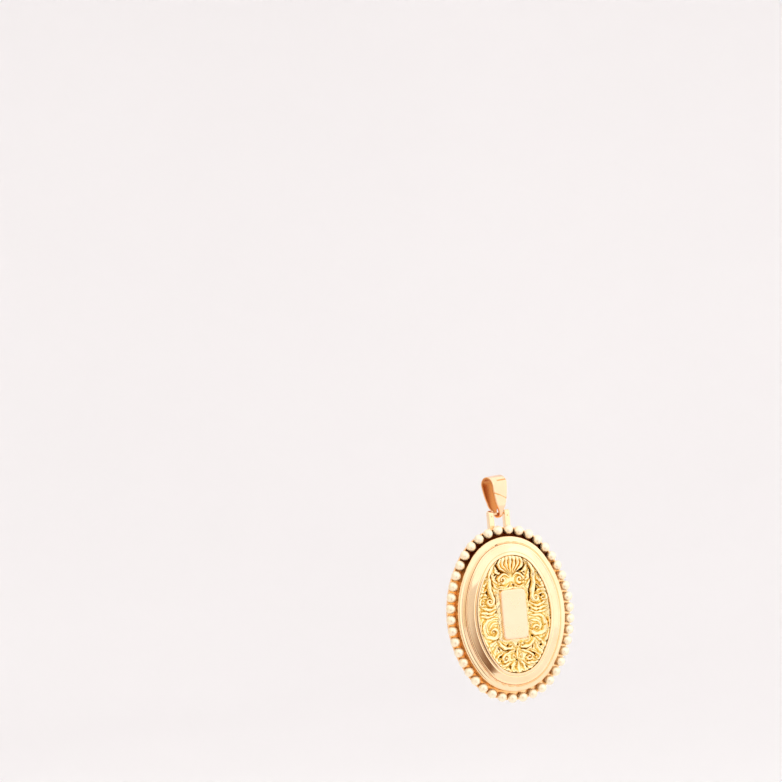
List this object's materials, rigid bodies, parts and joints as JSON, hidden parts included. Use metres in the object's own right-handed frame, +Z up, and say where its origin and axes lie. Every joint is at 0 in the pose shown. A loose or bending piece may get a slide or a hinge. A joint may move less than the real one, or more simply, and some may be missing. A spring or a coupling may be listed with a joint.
{
  "type": "oval pendant",
  "caption": "Oval gold pendant with a border of round beads, a stepped polished frame, a chased scroll panel with a plain plaque, and a folded bail that it swings from.",
  "frame": {"origin": "the seat of the chain, inside the top of the bail, where the pendant hangs", "axes": "+Z up along the pendant's long axis, -Y out of the chased front, +X to the right seen from the front"},
  "size_m": [0.0302, 0.008, 0.0503],
  "materials": {
    "polished_gold": "polished yellow gold",
    "bright_gold": "mirror polished yellow gold",
    "chased_gold": "chased yellow gold, bright tops and dark grounds",
    "bail_gold": "polished rose-tinted gold"
  },
  "bodies": {
    "bail": {"bail": "bail_gold"},
    "pendant": {"back_plate": "polished_gold", "frame_rim": "bright_gold", "relief_panel": "chased_gold", "plaque": "bright_gold", "bail_pin": "polished_gold"}
  },
  "joints": [
    {"name": "swing", "type": "hinge", "parent": "bail", "child": "pendant", "pos_m": [0, 0, -0.00785], "axis": [1, 0, 0], "range_deg": [-90, 90]}
  ]
}
